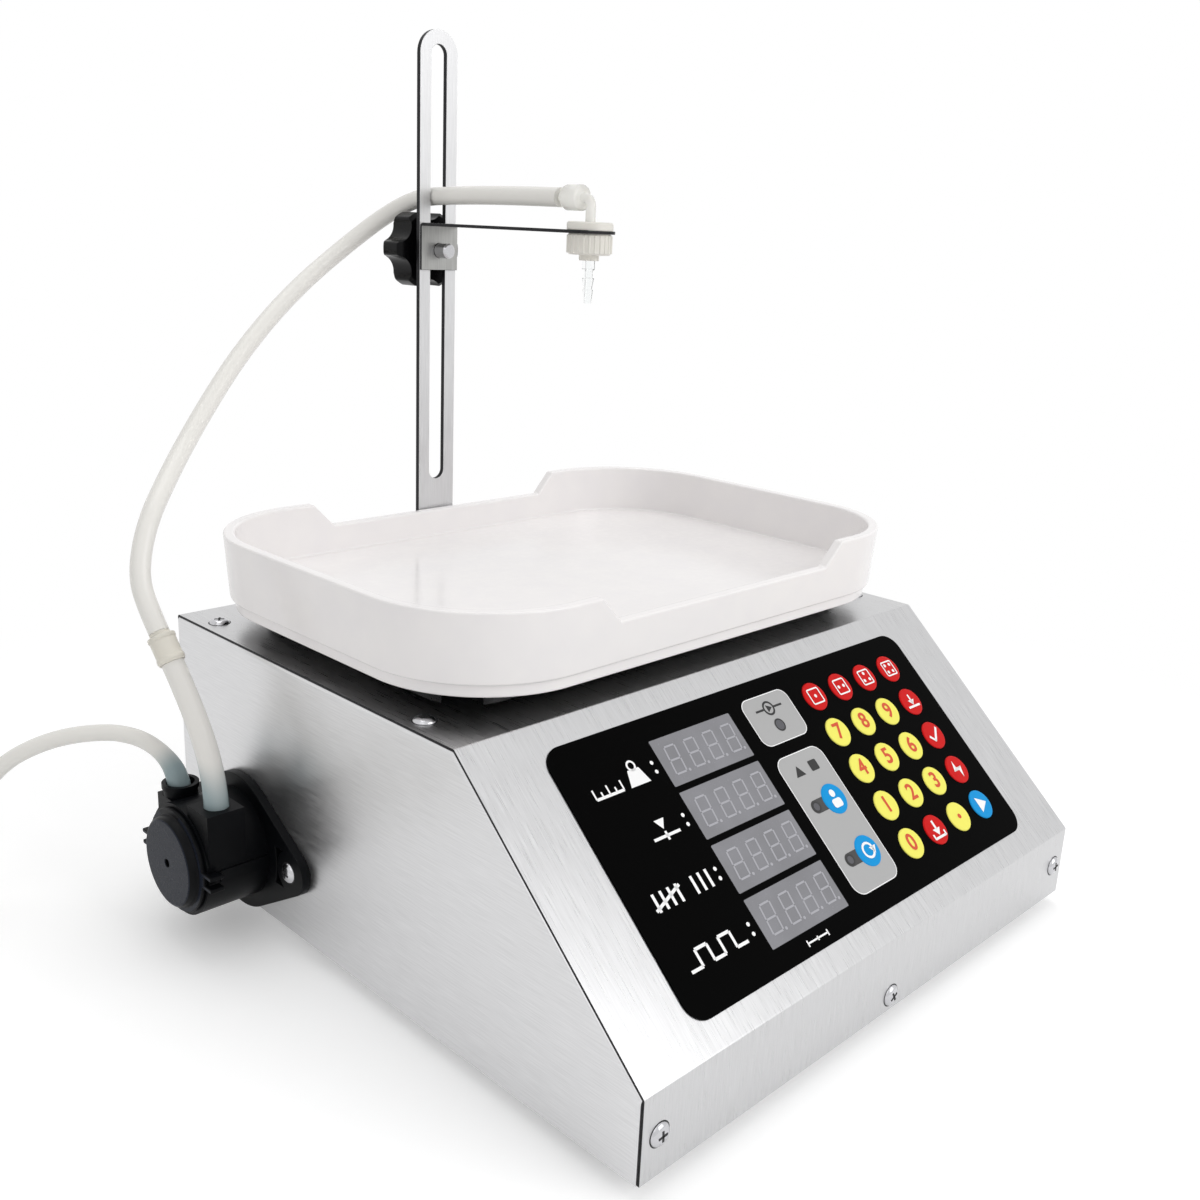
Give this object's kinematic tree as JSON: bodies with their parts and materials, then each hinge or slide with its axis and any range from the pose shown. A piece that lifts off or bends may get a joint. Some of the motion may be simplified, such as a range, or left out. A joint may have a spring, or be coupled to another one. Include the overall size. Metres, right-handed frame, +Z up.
{
  "type": "liquid filling machine",
  "caption": "Desktop weighing filler: sloped keypad housing, shallow weighing tray, slotted column with a height-adjustable nozzle arm, side peristaltic pump and silicone hoses.",
  "frame": {"origin": "at table level under the middle of the housing, the centre of the four feet's lower faces", "axes": "+Z up the column, +X to the right as seen from the keypad, +Y to the back"},
  "size_m": [0.546, 0.4152, 0.437],
  "materials": {
    "stainless": "brushed",
    "bar_steel": "satin",
    "screw_steel": "polished",
    "foot_rubber": "matte",
    "overlay_film": "satin",
    "display_face": "gloss",
    "lamp_lens": "gloss",
    "circuit_board": "matte",
    "key_red": "satin",
    "key_yellow": "satin",
    "key_blue": "satin",
    "tray_plastic": "gloss",
    "support_plastic": "matte",
    "cell_aluminium": "machined",
    "bracket_steel": "zinc plated",
    "knob_plastic": "gloss",
    "nozzle_cream": "translucent",
    "tip_clear": "clear",
    "pump_black": "matte",
    "pump_slate": "satin",
    "roller_plastic": "satin",
    "motor_steel": "zinc plated",
    "silicone": "translucent",
    "inlet_plastic": "matte",
    "supply_metal": "matte"
  },
  "bodies": {
    "housing": {"base_chassis": "stainless", "top_cover": "stainless", "rubber_feet": "foot_rubber", "case_screws": "screw_steel", "control_overlay": "overlay_film", "display_modules": "display_face", "indicator_lamps": "lamp_lens", "keypad_board": "circuit_board", "pan_support": "support_plastic", "load_cell": "cell_aluminium", "cell_bracket": "bracket_steel", "cell_bolts": "screw_steel", "column_bar": "bar_steel", "pump_flange": "pump_black", "pump_housing": "pump_black", "pump_cap": "pump_slate", "pump_motor": "motor_steel", "pump_tube": "silicone", "outlet_leg": "silicone", "hose_connector": "nozzle_cream", "outlet_hose": "silicone", "suction_hose": "silicone", "suction_coil": "silicone", "power_inlet": "inlet_plastic", "power_supply": "supply_metal"},
    "carriage": {"clamp_arm": "bar_steel", "nozzle_holder": "nozzle_cream", "nozzle_nut": "nozzle_cream", "nozzle_tip": "tip_clear", "nozzle_elbow": "nozzle_cream"},
    "knob": {"clamp_stud": "screw_steel", "clamp_knob": "knob_plastic"},
    "tray": {"weigh_pan": "tray_plastic"},
    "rotor": {"pump_rotor": "roller_plastic"},
    "roller_1": {"pump_roller_1": "roller_plastic"},
    "roller_2": {"pump_roller_2": "roller_plastic"},
    "roller_3": {"pump_roller_3": "roller_plastic"},
    "rocker": {"power_rocker": "inlet_plastic"},
    "button_memory_1": {"key_memory_1": "key_red"},
    "button_memory_2": {"key_memory_2": "key_red"},
    "button_memory_3": {"key_memory_3": "key_red"},
    "button_memory_4": {"key_memory_4": "key_red"},
    "button_7": {"key_7": "key_yellow"},
    "button_8": {"key_8": "key_yellow"},
    "button_9": {"key_9": "key_yellow"},
    "button_tare": {"key_tare": "key_red"},
    "button_4": {"key_4": "key_yellow"},
    "button_5": {"key_5": "key_yellow"},
    "button_6": {"key_6": "key_yellow"},
    "button_set": {"key_set": "key_red"},
    "button_1": {"key_1": "key_yellow"},
    "button_2": {"key_2": "key_yellow"},
    "button_3": {"key_3": "key_yellow"},
    "button_trigger": {"key_trigger": "key_red"},
    "button_0": {"key_0": "key_yellow"},
    "button_save": {"key_save": "key_red"},
    "button_point": {"key_point": "key_yellow"},
    "button_run": {"key_run": "key_blue"},
    "button_manual": {"key_manual": "key_blue"},
    "button_auto": {"key_auto": "key_blue"}
  },
  "joints": [
    {"name": "carriage_slide", "type": "slide", "parent": "housing", "child": "carriage", "axis": [0, 0, 1], "range_m": [-0.124, 0.065], "deforming": ["outlet_hose"]},
    {"name": "clamp_knob_turn", "type": "hinge", "parent": "carriage", "child": "knob", "pos_m": [0, 0.169, 0.3235], "axis": [0, 1, 0], "range_deg": [0, 360]},
    {"name": "tray_lift", "type": "slide", "parent": "housing", "child": "tray", "axis": [0, 0, 1], "range_m": [0, 0.05]},
    {"name": "pump_rotor_spin", "type": "hinge", "parent": "housing", "child": "rotor", "pos_m": [-0.165, 0.1035, 0.042], "axis": [-1, 0, 0], "continuous": true},
    {"name": "pump_roller_spin_1", "type": "hinge", "parent": "rotor", "child": "roller_1", "pos_m": [-0.165, 0.1035, 0.0507], "axis": [-1, 0, 0], "continuous": true},
    {"name": "pump_roller_spin_2", "type": "hinge", "parent": "rotor", "child": "roller_2", "pos_m": [-0.165, 0.11103, 0.03765], "axis": [-1, 0, 0], "continuous": true},
    {"name": "pump_roller_spin_3", "type": "hinge", "parent": "rotor", "child": "roller_3", "pos_m": [-0.165, 0.09597, 0.03765], "axis": [-1, 0, 0], "continuous": true},
    {"name": "button_memory_1_press", "type": "slide", "parent": "housing", "child": "button_memory_1", "axis": [0, 0.6686, -0.7436], "range_m": [0, 0.0004], "stiffness_N_per_m": 1500, "springref_m": -0.0005},
    {"name": "button_memory_2_press", "type": "slide", "parent": "housing", "child": "button_memory_2", "axis": [0, 0.6686, -0.7436], "range_m": [0, 0.0004], "stiffness_N_per_m": 1500, "springref_m": -0.0005},
    {"name": "button_memory_3_press", "type": "slide", "parent": "housing", "child": "button_memory_3", "axis": [0, 0.6686, -0.7436], "range_m": [0, 0.0004], "stiffness_N_per_m": 1500, "springref_m": -0.0005},
    {"name": "button_memory_4_press", "type": "slide", "parent": "housing", "child": "button_memory_4", "axis": [0, 0.6686, -0.7436], "range_m": [0, 0.0004], "stiffness_N_per_m": 1500, "springref_m": -0.0005},
    {"name": "button_7_press", "type": "slide", "parent": "housing", "child": "button_7", "axis": [0, 0.6686, -0.7436], "range_m": [0, 0.0004], "stiffness_N_per_m": 1500, "springref_m": -0.0005},
    {"name": "button_8_press", "type": "slide", "parent": "housing", "child": "button_8", "axis": [0, 0.6686, -0.7436], "range_m": [0, 0.0004], "stiffness_N_per_m": 1500, "springref_m": -0.0005},
    {"name": "button_9_press", "type": "slide", "parent": "housing", "child": "button_9", "axis": [0, 0.6686, -0.7436], "range_m": [0, 0.0004], "stiffness_N_per_m": 1500, "springref_m": -0.0005},
    {"name": "button_tare_press", "type": "slide", "parent": "housing", "child": "button_tare", "axis": [0, 0.6686, -0.7436], "range_m": [0, 0.0004], "stiffness_N_per_m": 1500, "springref_m": -0.0005},
    {"name": "button_4_press", "type": "slide", "parent": "housing", "child": "button_4", "axis": [0, 0.6686, -0.7436], "range_m": [0, 0.0004], "stiffness_N_per_m": 1500, "springref_m": -0.0005},
    {"name": "button_5_press", "type": "slide", "parent": "housing", "child": "button_5", "axis": [0, 0.6686, -0.7436], "range_m": [0, 0.0004], "stiffness_N_per_m": 1500, "springref_m": -0.0005},
    {"name": "button_6_press", "type": "slide", "parent": "housing", "child": "button_6", "axis": [0, 0.6686, -0.7436], "range_m": [0, 0.0004], "stiffness_N_per_m": 1500, "springref_m": -0.0005},
    {"name": "button_set_press", "type": "slide", "parent": "housing", "child": "button_set", "axis": [0, 0.6686, -0.7436], "range_m": [0, 0.0004], "stiffness_N_per_m": 1500, "springref_m": -0.0005},
    {"name": "button_1_press", "type": "slide", "parent": "housing", "child": "button_1", "axis": [0, 0.6686, -0.7436], "range_m": [0, 0.0004], "stiffness_N_per_m": 1500, "springref_m": -0.0005},
    {"name": "button_2_press", "type": "slide", "parent": "housing", "child": "button_2", "axis": [0, 0.6686, -0.7436], "range_m": [0, 0.0004], "stiffness_N_per_m": 1500, "springref_m": -0.0005},
    {"name": "button_3_press", "type": "slide", "parent": "housing", "child": "button_3", "axis": [0, 0.6686, -0.7436], "range_m": [0, 0.0004], "stiffness_N_per_m": 1500, "springref_m": -0.0005},
    {"name": "button_trigger_press", "type": "slide", "parent": "housing", "child": "button_trigger", "axis": [0, 0.6686, -0.7436], "range_m": [0, 0.0004], "stiffness_N_per_m": 1500, "springref_m": -0.0005},
    {"name": "button_0_press", "type": "slide", "parent": "housing", "child": "button_0", "axis": [0, 0.6686, -0.7436], "range_m": [0, 0.0004], "stiffness_N_per_m": 1500, "springref_m": -0.0005},
    {"name": "button_save_press", "type": "slide", "parent": "housing", "child": "button_save", "axis": [0, 0.6686, -0.7436], "range_m": [0, 0.0004], "stiffness_N_per_m": 1500, "springref_m": -0.0005},
    {"name": "button_point_press", "type": "slide", "parent": "housing", "child": "button_point", "axis": [0, 0.6686, -0.7436], "range_m": [0, 0.0004], "stiffness_N_per_m": 1500, "springref_m": -0.0005},
    {"name": "button_run_press", "type": "slide", "parent": "housing", "child": "button_run", "axis": [0, 0.6686, -0.7436], "range_m": [0, 0.0004], "stiffness_N_per_m": 1500, "springref_m": -0.0005},
    {"name": "button_manual_press", "type": "slide", "parent": "housing", "child": "button_manual", "axis": [0, 0.6686, -0.7436], "range_m": [0, 0.0004], "stiffness_N_per_m": 1500, "springref_m": -0.0005},
    {"name": "button_auto_press", "type": "slide", "parent": "housing", "child": "button_auto", "axis": [0, 0.6686, -0.7436], "range_m": [0, 0.0004], "stiffness_N_per_m": 1500, "springref_m": -0.0005},
    {"name": "power_rocker_tilt", "type": "hinge", "parent": "housing", "child": "rocker", "pos_m": [0.09, 0.1635, 0.0485], "axis": [1, 0, 0], "range_deg": [-16, 0]}
  ],
  "couplings": [
    {"joint": "pump_roller_spin_1", "follows": "pump_rotor_spin", "ratio": -3},
    {"joint": "pump_roller_spin_2", "follows": "pump_rotor_spin", "ratio": -3},
    {"joint": "pump_roller_spin_3", "follows": "pump_rotor_spin", "ratio": -3}
  ]
}
